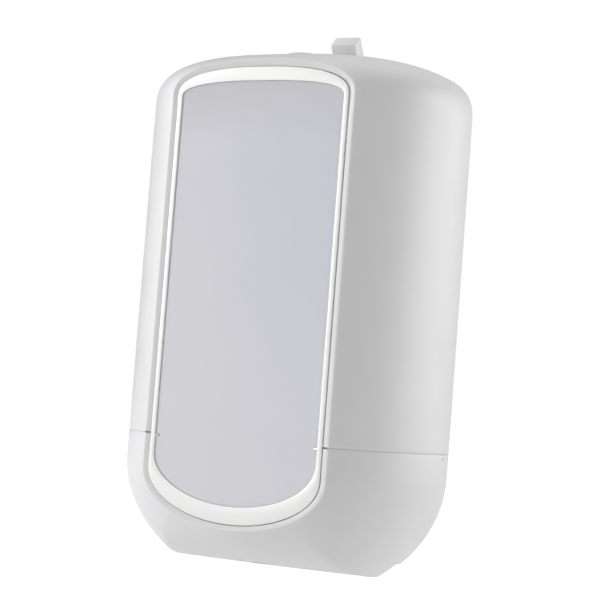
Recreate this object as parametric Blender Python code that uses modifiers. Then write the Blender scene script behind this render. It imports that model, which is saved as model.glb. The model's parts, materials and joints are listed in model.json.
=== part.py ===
"""Wall mounted soap dispenser: a push panel with a window, a hinged cover, a tank and a piston pump.

Assembly coordinates: +X to the right, +Y towards the wall, +Z up. The wall is the plane y = 0 and the
lowest edge of the casing is z = 0. Everything hangs from the empty "wall_origin", which lowers the
assembly so that the world origin lies on the wall, in the middle of the back plate. Lengths in metres.
"""
import math

import bmesh
import bpy
from mathutils import Matrix, Vector

# ---------------------------------------------------------------- driving dimensions
BODY_HEIGHT = 0.2487
BODY_HALF_WIDTH = 0.0805
BODY_DEPTH = 0.066
WALL = 0.0022                    # wall thickness of the casing shells
GAP = 0.0003                     # clearance between pieces that touch
MOUNT_HEIGHT = 0.125             # height of the world origin above the lowest edge

REAR_GAP = 0.0004                # between the casing's rear edge and the wall
ARCH_RISE, ARCH_EXPONENT = 0.0305, 3.0     # rear outline: a superelliptical crown
CORNER_START = 0.050             # rear outline: where the lower corners begin
CORNER_SWEEP = math.radians(50)
FLOOR_HALF_WIDTH = 0.0510
BULGE_EXPONENT = 2.3             # superellipse of the plan section
ARCH_STEPS, SIDE_STEPS, CORNER_STEPS, FLOOR_STEPS, BULGE_STEPS = 10, 4, 6, 4, 7

PANEL_HALF_WIDTH = 0.0447        # outer edge of the trim ring
PANEL_TOP = 0.235
PANEL_BOTTOM = 0.022
PANEL_TOP_RISE = 0.0138
PANEL_BOTTOM_RISE = 0.0235
ARC_LIFT = 0.85                   # an inner outline's lower arc moves up by this share of its inset
PANEL_TOP_EXPONENT = 2.5
PANEL_ARC_SPLIT = math.radians(50)
RIM_WIDTH = 0.0030               # raised rim of the casing around the panel
RIM_TOP_WIDTH = 0.0036
PANEL_GAP = 0.0007
WELL_WALL, WELL_FRONT, WELL_REAR = 0.0014, -0.0648, -0.0545   # sleeve that the panel moves in
BAND_SIDE, BAND_TOP, BAND_BOTTOM = 0.0025, 0.0066, 0.0083
RING_FRONT, RING_REAR = -0.0660, -0.0632
PANE_FRONT, PANE_REAR = -0.0655, -0.0635
CARRIER_FRONT, CARRIER_REAR = -0.0629, -0.0609
LUG_HEIGHT = 0.0600              # the ring's two small lugs

SEAM_HEIGHT = 0.0610             # joint between the upper and the lower cover
COVER_AXIS_Y, COVER_AXIS_Z = -0.0075, 0.0060
PANEL_AXIS_Y, PANEL_AXIS_Z = -0.0570, 0.2260
PUMP_Z = 0.050
PORT_Y = -0.022
OUTLET_Y, OUTLET_RADIUS = -0.024, 0.0070
LATCH_X, LATCH_Y, LATCH_Z = 0.0154, -0.006, 0.240
LATCH_SLOT_HALF, LATCH_SLOT_FRONT = 0.0074, -0.0128
LOCK_Y, LOCK_Z, LOCK_TILT = -0.027, 0.2478, math.radians(5.0)
LOCK_HOLE = 0.0059

TANK_HALF_WIDTH, TANK_FRONT, TANK_REAR = 0.068, -0.051, -0.007
TANK_BOTTOM, TANK_TOP, TANK_WALL = 0.080, 0.224, 0.0020
TANK_FRONT_RADIUS, TANK_REAR_RADIUS = 0.020, 0.006
GASKET_HEIGHT, LID_HEIGHT, LID_PLUG_DEPTH = 0.0010, 0.0018, 0.003
SPOUT_RADIUS, SPOUT_END, DRAIN_RADIUS = 0.0056, 0.0655, 0.0036

OVERSHOOT = 0.002                # how far a cutter passes the face that it opens
BITE = 0.0005                    # how deep a joined shape starts inside its neighbour
BIG = 0.3                        # half size of a cutter that takes a whole side away


# ---------------------------------------------------------------- scene, collections, materials
def clear_scene():
    for obj in list(bpy.data.objects):
        bpy.data.objects.remove(obj, do_unlink=True)


def collection(name):
    group = bpy.data.collections.new(name)
    bpy.context.scene.collection.children.link(group)
    return group


def material(name, colour, roughness, metallic=0.0, alpha=1.0):
    mat = bpy.data.materials.new(name)
    mat.use_nodes = True
    shader = mat.node_tree.nodes["Principled BSDF"]
    shader.inputs["Base Color"].default_value = (*colour, 1.0)
    shader.inputs["Roughness"].default_value = roughness
    shader.inputs["Metallic"].default_value = metallic
    shader.inputs["Alpha"].default_value = alpha
    mat.diffuse_color = (*colour, alpha)
    return mat


clear_scene()
PARTS = collection("wall_soap_dispenser")
CUTTERS = collection("cutters")

WHITE = dict(colour=(0.80, 0.80, 0.82), roughness=0.34)
CHALK = dict(colour=(0.88, 0.88, 0.87), roughness=0.28)
FROST = dict(colour=(0.62, 0.61, 0.67), roughness=0.55)
NATURAL = dict(colour=(0.83, 0.84, 0.82), roughness=0.45)
GREY = dict(colour=(0.50, 0.51, 0.53), roughness=0.42)
RUBBER = dict(colour=(0.66, 0.68, 0.70), roughness=0.60)
STEEL = dict(colour=(0.62, 0.62, 0.63), roughness=0.25, metallic=1.0)


def axis_empty(name, location, tilt=0.0, parent=None):
    empty = bpy.data.objects.new(name, None)
    PARTS.objects.link(empty)
    empty.location = location
    empty.rotation_euler.x = tilt
    empty.parent = parent
    return empty


ORIGIN = axis_empty("wall_origin", (0, 0, -MOUNT_HEIGHT))
COVER_AXIS = axis_empty("cover_axis", (0, COVER_AXIS_Y, COVER_AXIS_Z), parent=ORIGIN)
PANEL_AXIS = axis_empty("panel_axis", (0, PANEL_AXIS_Y, PANEL_AXIS_Z), parent=ORIGIN)
PLUNGER_AXIS = axis_empty("plunger_axis", (0, 0, PUMP_Z), parent=ORIGIN)
LATCH_AXIS = axis_empty("latch_axis", (LATCH_X, LATCH_Y, LATCH_Z), parent=ORIGIN)
LOCK_AXIS = axis_empty("lock_axis", (0, LOCK_Y, LOCK_Z), tilt=LOCK_TILT, parent=ORIGIN)


def place(obj, parent):
    """Hangs an object that is drawn in assembly coordinates from an axis empty."""
    obj.parent = parent
    if parent not in (ORIGIN, LOCK_AXIS):
        obj.location = -parent.location


def part(name, mesh, look, parent=ORIGIN):
    obj = bpy.data.objects.new(name, mesh)
    PARTS.objects.link(obj)
    mesh.materials.append(material(name, **look))
    place(obj, parent)
    return obj


def cutter(name, mesh, parent=ORIGIN):
    obj = bpy.data.objects.new(name, mesh)
    CUTTERS.objects.link(obj)
    obj.hide_render = True
    obj.display_type = "WIRE"
    place(obj, parent)
    return obj


def boolean(target, operation, *tools):
    for tool in tools:
        mod = target.modifiers.new(operation.lower(), "BOOLEAN")
        mod.operation = operation
        mod.solver = "EXACT"
        mod.object = tool


def cut(target, *tools):
    boolean(target, "DIFFERENCE", *tools)


def join(target, *tools):
    boolean(target, "UNION", *tools)


# ---------------------------------------------------------------- meshes
def finish_mesh(bm, name):
    bmesh.ops.recalc_face_normals(bm, faces=bm.faces)
    mesh = bpy.data.meshes.new(name)
    bm.to_mesh(mesh)
    bm.free()
    return mesh


def box(name, x, y, z):
    """A block between the pairs x, y and z."""
    low = Vector((min(x), min(y), min(z)))
    high = Vector((max(x), max(y), max(z)))
    bm = bmesh.new()
    scale = Matrix.Diagonal((*(high - low), 1.0))
    bmesh.ops.create_cube(bm, size=1.0, matrix=Matrix.Translation((low + high) / 2) @ scale)
    return finish_mesh(bm, name)


def rod(name, radius, start, end, segments=20, end_radius=None):
    """A cylinder, or a cone when end_radius is given, between two points."""
    start, end = Vector(start), Vector(end)
    turn = (end - start).to_track_quat("Z", "Y").to_matrix().to_4x4()
    bm = bmesh.new()
    bmesh.ops.create_cone(
        bm, cap_ends=True, segments=segments, radius1=radius,
        radius2=radius if end_radius is None else end_radius,
        depth=(end - start).length, matrix=Matrix.Translation((start + end) / 2) @ turn)
    return finish_mesh(bm, name)


def filled_curve(name, outlines, thickness):
    """A flat sheet in the XY plane; the outlines after the first are its openings."""
    curve = bpy.data.curves.new(name, "CURVE")
    curve.dimensions = "2D"
    curve.fill_mode = "BOTH"
    curve.extrude = thickness / 2
    for points in outlines:
        spline = curve.splines.new("POLY")
        spline.points.add(len(points) - 1)
        for target, (u, v) in zip(spline.points, points):
            target.co = (u, v, 0, 1)
        spline.use_cyclic_u = True
    holder = bpy.data.objects.new(name, curve)
    PARTS.objects.link(holder)
    evaluated = holder.evaluated_get(bpy.context.evaluated_depsgraph_get())
    mesh = bpy.data.meshes.new_from_object(evaluated)
    bpy.data.objects.remove(holder)
    bm = bmesh.new()
    bm.from_mesh(mesh)
    bmesh.ops.remove_doubles(bm, verts=bm.verts, dist=1e-6)
    bmesh.ops.recalc_face_normals(bm, faces=bm.faces)
    bm.to_mesh(mesh)
    bm.free()
    return mesh


def upright_sheet(name, outlines, front, rear):
    """A sheet with its outlines in x and z, between two values of y."""
    mesh = filled_curve(name, outlines, rear - front)
    mesh.transform(Matrix.Translation((0, (front + rear) / 2, 0)) @ Matrix.Rotation(math.pi / 2, 4, "X"))
    return mesh


def level_sheet(name, outlines, low, high):
    """A sheet with its outlines in x and y, between two values of z."""
    mesh = filled_curve(name, outlines, high - low)
    mesh.transform(Matrix.Translation((0, 0, (low + high) / 2)))
    return mesh


def side_sheet(name, outline, left, right):
    """A sheet with its outline in y and z, between two values of x."""
    mesh = filled_curve(name, [outline], right - left)
    mesh.transform(Matrix.Rotation(math.pi / 2, 4, "Z") @ Matrix.Rotation(math.pi / 2, 4, "X"))
    mesh.transform(Matrix.Translation(((left + right) / 2, 0, 0)))
    return mesh


def turned(name, profile, look, parent=ORIGIN, place_at=(0, 0, 0), turn=(0, 0, 0), steps=24):
    """A turned piece: (radius, height) points down its outer side, closed through its bore if it has one."""
    mesh = bpy.data.meshes.new(name)
    last = len(profile) - 1
    edges = [(i, i + 1) for i in range(last)]
    if profile[0][0] > 0:
        edges.append((last, 0))
    mesh.from_pydata([(r, 0, z) for r, z in profile], edges, [])
    obj = bpy.data.objects.new(name, mesh)
    PARTS.objects.link(obj)
    mesh.materials.append(material(name, **look))
    screw = obj.modifiers.new("turn", "SCREW")
    screw.steps = steps
    screw.render_steps = steps
    screw.use_merge_vertices = True
    screw.merge_threshold = 1e-6
    screw.use_smooth_shade = True
    obj.parent = parent
    obj.location = place_at
    obj.rotation_euler = turn
    return obj


def coil(name, radius, wire, turns, length, look, parent, place_at, turn, points_per_turn=10):
    """A compression spring along its own +Z, with its wire's ends closed."""
    curve = bpy.data.curves.new(name, "CURVE")
    curve.dimensions = "3D"
    curve.bevel_depth = wire / 2
    curve.bevel_resolution = 2
    curve.use_fill_caps = True
    spline = curve.splines.new("POLY")
    count = int(turns * points_per_turn)
    spline.points.add(count)
    pitch = (length - wire) / count
    for i, point in enumerate(spline.points):
        angle = 2 * math.pi * i / points_per_turn
        point.co = (radius * math.cos(angle), radius * math.sin(angle), wire / 2 + pitch * i, 1)
    curve.materials.append(material(name, **look))
    obj = bpy.data.objects.new(name, curve)
    PARTS.objects.link(obj)
    obj.parent = parent
    obj.location = place_at
    obj.rotation_euler = turn
    return obj


# ---------------------------------------------------------------- outlines
def spread(start, stop, steps):
    return [start + (stop - start) * i / steps for i in range(steps + 1)]


def mirrored(right_half):
    """Closes a right half that runs from the top centre to the bottom centre."""
    return right_half + [(-x, z) for x, z in reversed(right_half[1:-1])]


def rear_outline(inset=0.0):
    """Casing's outline at the wall: superelliptical crown, upright sides, cut-off lower corners, floor."""
    half = BODY_HALF_WIDTH - inset
    crown = BODY_HEIGHT - inset
    shoulder = BODY_HEIGHT - ARCH_RISE
    floor_half = FLOOR_HALF_WIDTH - inset / 2
    reach = (half - floor_half) / (1 - math.cos(CORNER_SWEEP))
    drop = (CORNER_START - inset) / math.sin(CORNER_SWEEP)
    power = 2 / ARCH_EXPONENT
    points = [(half * math.sin(a) ** power, shoulder + (crown - shoulder) * max(math.cos(a), 0) ** power)
              for a in spread(0, math.pi / 2, ARCH_STEPS)]
    points += [(half, z) for z in spread(shoulder, CORNER_START, SIDE_STEPS)[1:]]
    points += [(half - reach * (1 - math.cos(a)), CORNER_START - drop * math.sin(a))
               for a in spread(0, CORNER_SWEEP, CORNER_STEPS)[1:]]
    points += [(x, inset) for x in spread(floor_half, 0, FLOOR_STEPS)[1:]]
    return mirrored(points)


def panel_outline(side=0.0, top=0.0, bottom=0.0):
    """Outline of the push panel, moved outwards by the given amounts."""
    half = PANEL_HALF_WIDTH + side
    shoulder = PANEL_TOP - PANEL_TOP_RISE
    rise = PANEL_TOP_RISE + top
    lift = ARC_LIFT * max(-bottom, 0)
    elbow = PANEL_BOTTOM + PANEL_BOTTOM_RISE + lift
    drop = PANEL_BOTTOM_RISE + bottom + lift
    power = 2 / PANEL_TOP_EXPONENT
    points = [(half * math.sin(a) ** power, shoulder + rise * max(math.cos(a), 0) ** power)
              for a in spread(0, math.pi / 2, ARCH_STEPS)]
    points += [(half, z) for z in spread(shoulder, elbow, SIDE_STEPS)[1:]]
    points += [(half * math.cos(a), elbow - drop * math.sin(a))
               for a in spread(0, PANEL_ARC_SPLIT, CORNER_STEPS)[1:]]
    points += [(half * math.cos(a), elbow - drop * math.sin(a))
               for a in spread(PANEL_ARC_SPLIT, math.pi / 2, FLOOR_STEPS)[1:]]
    points[-1] = (0, points[-1][1])
    return mirrored(points)


def rim_outline(inset=0.0):
    return panel_outline(RIM_WIDTH - inset, RIM_TOP_WIDTH - inset, RIM_WIDTH - inset)


def casing_rows(inset=0.0):
    """Rows of points from the wall to the panel's rim; the plan section is part of a superellipse."""
    rear, rim = rear_outline(inset), rim_outline(inset)
    edge = (PANEL_HALF_WIDTH + RIM_WIDTH) / BODY_HALF_WIDTH
    reach = (1 - edge ** BULGE_EXPONENT) ** (1 / BULGE_EXPONENT)
    rows = []
    for angle in spread(0, math.pi / 2, BULGE_STEPS):
        advance = math.sin(angle)
        width = (1 - (reach * advance) ** BULGE_EXPONENT) ** (1 / BULGE_EXPONENT)
        share = (width - edge) / (1 - edge)
        y = -REAR_GAP - (BODY_DEPTH - inset - REAR_GAP) * advance
        rows.append([(xf + (xr - xf) * share, y, zf + (zr - zf) * share)
                     for (xr, zr), (xf, zf) in zip(rear, rim)])
    return rows


def loft(name, rows, capped):
    """Quads between rows of points, closed by one face at each end when capped."""
    bm = bmesh.new()
    rings = [[bm.verts.new(point) for point in row] for row in rows]
    for near, far in zip(rings, rings[1:]):
        for i in range(len(near)):
            j = (i + 1) % len(near)
            bm.faces.new((near[i], far[i], far[j], near[j]))
    if capped:
        bm.faces.new(rings[0])
        bm.faces.new(rings[-1])
        return finish_mesh(bm, name)
    mesh = bpy.data.meshes.new(name)
    bm.to_mesh(mesh)
    bm.free()
    return mesh


# ---------------------------------------------------------------- covers
def inner_fitting(name, mesh):
    """A boss or lug inside the casing, trimmed so that it ends within the casing's wall."""
    obj = cutter(name, mesh, COVER_AXIS)
    boolean(obj, "INTERSECT", ENVELOPE)
    return obj


ENVELOPE = cutter("casing_envelope", loft("casing_envelope", casing_rows(WALL / 2), True), COVER_AXIS)

SCREW_BOSS_X, SCREW_BOSS_Y, SCREW_BOSS_RADIUS = 0.0720, -0.022, 0.0050
SCREW_SEAT, SCREW_TOP, SCREW_HOLE_TOP = 0.052, 0.075, 0.0735
SCREW_HOLE = 0.0019
COVER_LUG = (0.0280, 0.0346)     # cover's hinge lug, between these distances from the middle
PLATE_EAR = (0.0350, 0.0400)
PIN_RADIUS, PIN_HOLE = 0.0015, 0.0019
HINGE_PIN = (0.0270, 0.0410)
PANEL_LUG = (0.0260, 0.0310)
PANEL_PIN = (0.0252, 0.0364)
CASING_LUG, CASING_LUG_LOW = (0.0316, 0.0358), 0.2225
LUG_RADIUS = 0.0032
LATCH_KEEPER_Y, LATCH_KEEPER_Z, LATCH_KEEPER_HALF = (-0.0158, -0.0140), 0.2430, 0.0062
HINGE_RELIEF_HALF, HINGE_RELIEF_FRONT, HINGE_RELIEF_TOP = 0.060, -0.006, 0.0085


def pin_rod(name, radius, side, reach, axis_y, axis_z, spare=0.0):
    """A pin, or with spare length its bore, between two distances from the middle."""
    near, far = reach[0] - spare, reach[1] + spare
    return rod(name, radius, (side * near, axis_y, axis_z), (side * far, axis_y, axis_z), 12)


def casing_shell(name):
    """The whole casing: outer skin, rim, the land beside the panel and the sleeve behind it."""
    rows = casing_rows()
    land = panel_outline(PANEL_GAP, PANEL_GAP, PANEL_GAP)
    rows.append([(x, -BODY_DEPTH, z) for x, z in land])
    obj = part(name, loft(name, rows, False), WHITE, COVER_AXIS)
    shell = obj.modifiers.new("wall", "SOLIDIFY")
    shell.thickness = WALL
    shell.offset = -1
    shell.use_even_offset = True
    inside, outside = PANEL_GAP + 0.0001, PANEL_GAP + WELL_WALL
    sleeve = [panel_outline(outside, outside, outside), panel_outline(inside, inside, inside)]
    join(obj, cutter(name + "_well", upright_sheet("well", sleeve, WELL_FRONT, WELL_REAR), COVER_AXIS))
    return obj


def screw_boss(side, low, high):
    x = side * SCREW_BOSS_X
    return rod("boss", SCREW_BOSS_RADIUS, (x, SCREW_BOSS_Y, low), (x, SCREW_BOSS_Y, high), 16)


def screw_hole(side, low, high):
    x = side * SCREW_BOSS_X
    return rod("hole", SCREW_HOLE, (x, SCREW_BOSS_Y, low), (x, SCREW_BOSS_Y, high), 12)


def upper_cover():
    obj = casing_shell("upper_cover")
    below = box("below", (-BIG, BIG), (-BIG, BIG), (-BIG, SEAM_HEIGHT + GAP / 2))
    cut(obj, cutter("upper_cut", below, COVER_AXIS))
    for side, label in ((-1, "left"), (1, "right")):
        boss = screw_boss(side, SEAM_HEIGHT + GAP / 2, SCREW_TOP)
        join(obj, inner_fitting("upper_boss_" + label, boss))
        hole = screw_hole(side, SEAM_HEIGHT - OVERSHOOT, SCREW_HOLE_TOP)
        cut(obj, cutter("upper_hole_" + label, hole, COVER_AXIS))
        x = tuple(side * value for value in CASING_LUG)
        hanger = box("hanger", x, (PANEL_AXIS_Y - LUG_RADIUS, PANEL_AXIS_Y + LUG_RADIUS),
                     (CASING_LUG_LOW, BODY_HEIGHT))
        join(obj, inner_fitting("panel_hanger_" + label, hanger))
        bore = pin_rod("bore", PIN_HOLE, side, CASING_LUG, PANEL_AXIS_Y, PANEL_AXIS_Z, OVERSHOOT)
        cut(obj, cutter("hanger_bore_" + label, bore, COVER_AXIS))
    keeper = box("keeper", (LATCH_X - LATCH_KEEPER_HALF, LATCH_X + LATCH_KEEPER_HALF), LATCH_KEEPER_Y,
                 (LATCH_KEEPER_Z, BODY_HEIGHT + 0.01))
    join(obj, inner_fitting("latch_keeper", keeper))
    slot = box("slot", (LATCH_X - LATCH_SLOT_HALF, LATCH_X + LATCH_SLOT_HALF), (LATCH_SLOT_FRONT, OVERSHOOT),
               (LATCH_Z - OVERSHOOT, BODY_HEIGHT + 0.006))
    cut(obj, cutter("latch_slot", slot, COVER_AXIS))
    hole = rod("hole", LOCK_HOLE, (0, 0, -0.010), (0, 0, 0.010), 24)
    cut(obj, cutter("lock_hole", hole, LOCK_AXIS))
    return obj


def lower_cover():
    obj = casing_shell("lower_cover")
    above = box("above", (-BIG, BIG), (-BIG, BIG), (SEAM_HEIGHT - GAP / 2, BIG))
    cut(obj, cutter("lower_cut", above, COVER_AXIS))
    relief = box("relief", (-HINGE_RELIEF_HALF, HINGE_RELIEF_HALF), (HINGE_RELIEF_FRONT, OVERSHOOT),
                 (-OVERSHOOT, HINGE_RELIEF_TOP))
    cut(obj, cutter("hinge_relief", relief, COVER_AXIS))
    for side, label in ((-1, "left"), (1, "right")):
        boss = screw_boss(side, SCREW_SEAT, SEAM_HEIGHT - GAP / 2)
        join(obj, inner_fitting("lower_boss_" + label, boss))
        hole = screw_hole(side, SCREW_SEAT - OVERSHOOT, SEAM_HEIGHT + OVERSHOOT)
        cut(obj, cutter("lower_hole_" + label, hole, COVER_AXIS))
        x = tuple(side * value for value in COVER_LUG)
        lug = box("lug", x, (COVER_AXIS_Y - LUG_RADIUS, COVER_AXIS_Y + LUG_RADIUS),
                  (0, COVER_AXIS_Z + LUG_RADIUS))
        join(obj, inner_fitting("cover_lug_" + label, lug))
        bore = pin_rod("bore", PIN_HOLE, side, COVER_LUG, COVER_AXIS_Y, COVER_AXIS_Z, OVERSHOOT)
        cut(obj, cutter("lug_bore_" + label, bore, COVER_AXIS))
    outlet = rod("outlet", OUTLET_RADIUS, (0, OUTLET_Y, -0.010), (0, OUTLET_Y, 0.020), 28)
    cut(obj, cutter("outlet_opening", outlet, COVER_AXIS))
    return obj


def screw(name, head_radius, head_height, shank_radius, length, parent, place_at, turn=(0, 0, 0)):
    """A pan head screw: the head's seat is at its own z = 0 and the shank points down."""
    profile = [(0, head_height), (head_radius * 0.6, head_height), (head_radius, head_height * 0.45),
               (head_radius, 0), (shank_radius, 0), (shank_radius, -length + shank_radius),
               (0.0002, -length), (0, -length)]
    return turned(name, profile, STEEL, parent, place_at, turn, steps=12)


def cover_fasteners():
    for side, label in ((-1, "left"), (1, "right")):
        seat = Vector((side * SCREW_BOSS_X, SCREW_BOSS_Y, SCREW_SEAT - GAP)) - COVER_AXIS.location
        screw("cover_screw_" + label, SCREW_HEAD, 0.0020, SCREW_SHANK, 0.0210, COVER_AXIS, seat,
              (math.pi, 0, 0))
        pin = pin_rod("pin", PIN_RADIUS, side, HINGE_PIN, COVER_AXIS_Y, COVER_AXIS_Z)
        part("cover_hinge_pin_" + label, pin, STEEL)
        pin = pin_rod("pin", PIN_RADIUS, side, PANEL_PIN, PANEL_AXIS_Y, PANEL_AXIS_Z)
        part("panel_pin_" + label, pin, STEEL, PANEL_AXIS)


# ---------------------------------------------------------------- push panel
CARRIER_RIB = (0.102, 0.205)     # ribs end above the height where a full press would meet the tank
CARRIER_RIB_X, CARRIER_RIB_DEPTH = (0.0340, 0.0356), 0.0022
RING_LUG = (0.0018, 0.0010)      # from the band's inner edge inwards, and from its outer edge inwards
RING_LUG_HALF, RING_LUG_DEPTH, LUG_NOTCH_HALF = 0.0006, 0.0015, 0.0010


def trim_ring():
    inner = panel_outline(-BAND_SIDE, -BAND_TOP, -BAND_BOTTOM)
    mesh = upright_sheet("trim_ring", [panel_outline(), inner], RING_FRONT, RING_REAR)
    obj = part("trim_ring", mesh, CHALK, PANEL_AXIS)
    for side, label in ((-1, "left"), (1, "right")):
        x = (side * (PANEL_HALF_WIDTH - BAND_SIDE - RING_LUG[0]), side * (PANEL_HALF_WIDTH - RING_LUG[1]))
        lug = box("lug", x, (RING_FRONT + 0.0001, RING_FRONT + RING_LUG_DEPTH),
                  (LUG_HEIGHT - RING_LUG_HALF, LUG_HEIGHT + RING_LUG_HALF))
        join(obj, cutter("ring_lug_" + label, lug, PANEL_AXIS))
    return obj


def window_panel():
    outline = panel_outline(-BAND_SIDE - GAP, -BAND_TOP - GAP, -BAND_BOTTOM - GAP)
    mesh = upright_sheet("window_panel", [outline], PANE_FRONT, PANE_REAR)
    obj = part("window_panel", mesh, FROST, PANEL_AXIS)
    for side, label in ((-1, "left"), (1, "right")):
        x = (side * (PANEL_HALF_WIDTH - BAND_SIDE - RING_LUG[0] - GAP), side * (PANEL_HALF_WIDTH + 0.001))
        notch = box("notch", x, (PANE_FRONT - OVERSHOOT, RING_FRONT + RING_LUG_DEPTH + GAP),
                    (LUG_HEIGHT - LUG_NOTCH_HALF, LUG_HEIGHT + LUG_NOTCH_HALF))
        cut(obj, cutter("pane_notch_" + label, notch, PANEL_AXIS))
    return obj


def panel_carrier():
    outline = panel_outline(-GAP, -GAP, -GAP)
    mesh = upright_sheet("panel_carrier", [outline], CARRIER_FRONT, CARRIER_REAR)
    obj = part("panel_carrier", mesh, NATURAL, PANEL_AXIS)
    for side, label in ((-1, "left"), (1, "right")):
        x = tuple(side * value for value in PANEL_LUG)
        lug = box("lug", x, (CARRIER_REAR - BITE, PANEL_AXIS_Y + LUG_RADIUS),
                  (PANEL_AXIS_Z - 0.0045, PANEL_AXIS_Z + 0.0040))
        join(obj, cutter("carrier_lug_" + label, lug, PANEL_AXIS))
        bore = pin_rod("bore", PIN_HOLE, side, PANEL_LUG, PANEL_AXIS_Y, PANEL_AXIS_Z, OVERSHOOT)
        cut(obj, cutter("carrier_bore_" + label, bore, PANEL_AXIS))
        rib = box("rib", tuple(side * value for value in CARRIER_RIB_X),
                  (CARRIER_REAR - BITE, CARRIER_REAR + CARRIER_RIB_DEPTH), CARRIER_RIB)
        join(obj, cutter("carrier_rib_" + label, rib, PANEL_AXIS))
    return obj


# ---------------------------------------------------------------- back plate
PLATE_FRONT = -0.0025
PLATE_INSET = 0.0038
PLATE_BOTTOM = 0.0124
PUMP_POST_X, PUMP_POST_RADIUS = 0.017, 0.0048
FLANGE_FRONT, FLANGE_REAR = -0.016, -0.013
PILOT_END = -0.0045              # rear end of the holes for the pump screws
LEDGE, LEDGE_FRONT, LEDGE_DEPTH, LEDGE_WEB = (0.030, 0.048), -0.040, 0.0029, 0.012
EAR_TOP, EAR_SHOULDER = 0.026, 0.016
GUIDE_TOP, GUIDE_BOTTOM, GUIDE_FRONT, GUIDE_WALL = 0.2416, 0.2300, -0.0095, 0.0014
TONGUE_HALF, TONGUE_FRONT, TONGUE_Z = 0.0050, -0.0160, (0.2340, 0.2365)
KEYHOLE_RADIUS, KEYHOLE_NECK, KEYHOLE_RISE = 0.0045, 0.0022, 0.010
KEYHOLE_PLACES = ((-0.045, 0.195), (0.045, 0.195), (-0.045, 0.100), (0.045, 0.100))


def keyhole(number, x, z):
    through = (OVERSHOOT, PLATE_FRONT - OVERSHOOT)
    entry = rod("entry", KEYHOLE_RADIUS, (x, through[0], z), (x, through[1], z), 20)
    neck = box("neck", (x - KEYHOLE_NECK, x + KEYHOLE_NECK), through, (z, z + KEYHOLE_RISE))
    return cutter("keyhole_%d" % number, entry), cutter("keyhole_neck_%d" % number, neck)


def hinge_ear():
    """Side view of an ear: a half-round foot round the pin's bore and a root on the plate."""
    shelf, root_y = PLATE_BOTTOM + BITE, PLATE_FRONT + BITE
    outline = [(COVER_AXIS_Y - LUG_RADIUS * math.cos(a), COVER_AXIS_Z - LUG_RADIUS * math.sin(a))
               for a in spread(0, math.pi, 8)]
    return outline + [(COVER_AXIS_Y + LUG_RADIUS, shelf), (root_y, shelf), (root_y, EAR_TOP),
                      (COVER_AXIS_Y - LUG_RADIUS, EAR_SHOULDER)]


def back_plate():
    mesh = upright_sheet("back_plate", [rear_outline(PLATE_INSET)], PLATE_FRONT, 0)
    obj = part("back_plate", mesh, WHITE)
    trim = box("trim", (-BIG, BIG), (-BIG, BIG), (-BIG, PLATE_BOTTOM))
    notch_half = LATCH_SLOT_HALF - GAP
    notch = box("notch", (LATCH_X - notch_half, LATCH_X + notch_half), (-BIG, BIG), (GUIDE_TOP, BIG))
    cut(obj, cutter("plate_trim", trim), cutter("latch_notch", notch))
    root_y = PLATE_FRONT + BITE
    for side, label in ((-1, "left"), (1, "right")):
        x = sorted(side * value for value in PLATE_EAR)
        join(obj, cutter("hinge_ear_" + label, side_sheet("ear", hinge_ear(), *x)))
        bore = pin_rod("bore", PIN_HOLE, side, PLATE_EAR, COVER_AXIS_Y, COVER_AXIS_Z, OVERSHOOT)
        cut(obj, cutter("ear_bore_" + label, bore))
        post_x = side * PUMP_POST_X
        post_front = FLANGE_REAR + GAP
        post = rod("post", PUMP_POST_RADIUS, (post_x, root_y, PUMP_Z), (post_x, post_front, PUMP_Z), 16)
        join(obj, cutter("pump_post_" + label, post))
        pilot_front = post_front - OVERSHOOT
        pilot = rod("pilot", SCREW_HOLE, (post_x, PILOT_END, PUMP_Z), (post_x, pilot_front, PUMP_Z), 12)
        cut(obj, cutter("pump_pilot_" + label, pilot))
        shelf_top = TANK_BOTTOM - GAP
        shelf_low = shelf_top - LEDGE_DEPTH
        ledge = [(root_y, shelf_low - LEDGE_WEB), (root_y, shelf_top), (LEDGE_FRONT, shelf_top),
                 (LEDGE_FRONT, shelf_low)]
        x = sorted(side * value for value in LEDGE)
        join(obj, cutter("tank_ledge_" + label, side_sheet("ledge", ledge, *x)))
        wall_x = side * LATCH_SLOT_HALF + LATCH_X
        guide = box("guide", (wall_x, wall_x - side * GUIDE_WALL), (root_y, GUIDE_FRONT),
                    (GUIDE_BOTTOM, GUIDE_TOP))
        join(obj, cutter("latch_guide_" + label, guide))
    seat = box("seat", (LATCH_X - LATCH_SLOT_HALF, LATCH_X + LATCH_SLOT_HALF), (root_y, GUIDE_FRONT),
               (GUIDE_BOTTOM - 0.0004, GUIDE_BOTTOM + 0.0012))
    join(obj, cutter("latch_seat", seat))
    tongue = box("tongue", (-TONGUE_HALF, TONGUE_HALF), (root_y, TONGUE_FRONT), TONGUE_Z)
    join(obj, cutter("lock_tongue", tongue))
    for number, (x, z) in enumerate(KEYHOLE_PLACES):
        cut(obj, *keyhole(number, x, z))
    return obj


# ---------------------------------------------------------------- tank
def tank_outline(inset):
    """Plan of the tank in x and y, with wide front corners and narrow rear ones."""
    half = TANK_HALF_WIDTH - inset
    front, rear = TANK_FRONT + inset, TANK_REAR - inset
    points = []
    for radius, y, start in ((TANK_REAR_RADIUS, rear, 0), (TANK_FRONT_RADIUS, front, -math.pi / 2)):
        radius -= inset
        centre_y = y + radius if start else y - radius
        for a in spread(start + math.pi / 2, start, 5):
            points.append((half - radius + radius * math.cos(a), centre_y + radius * math.sin(a)))
    return points + [(-x, y) for x, y in reversed(points)]


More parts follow.
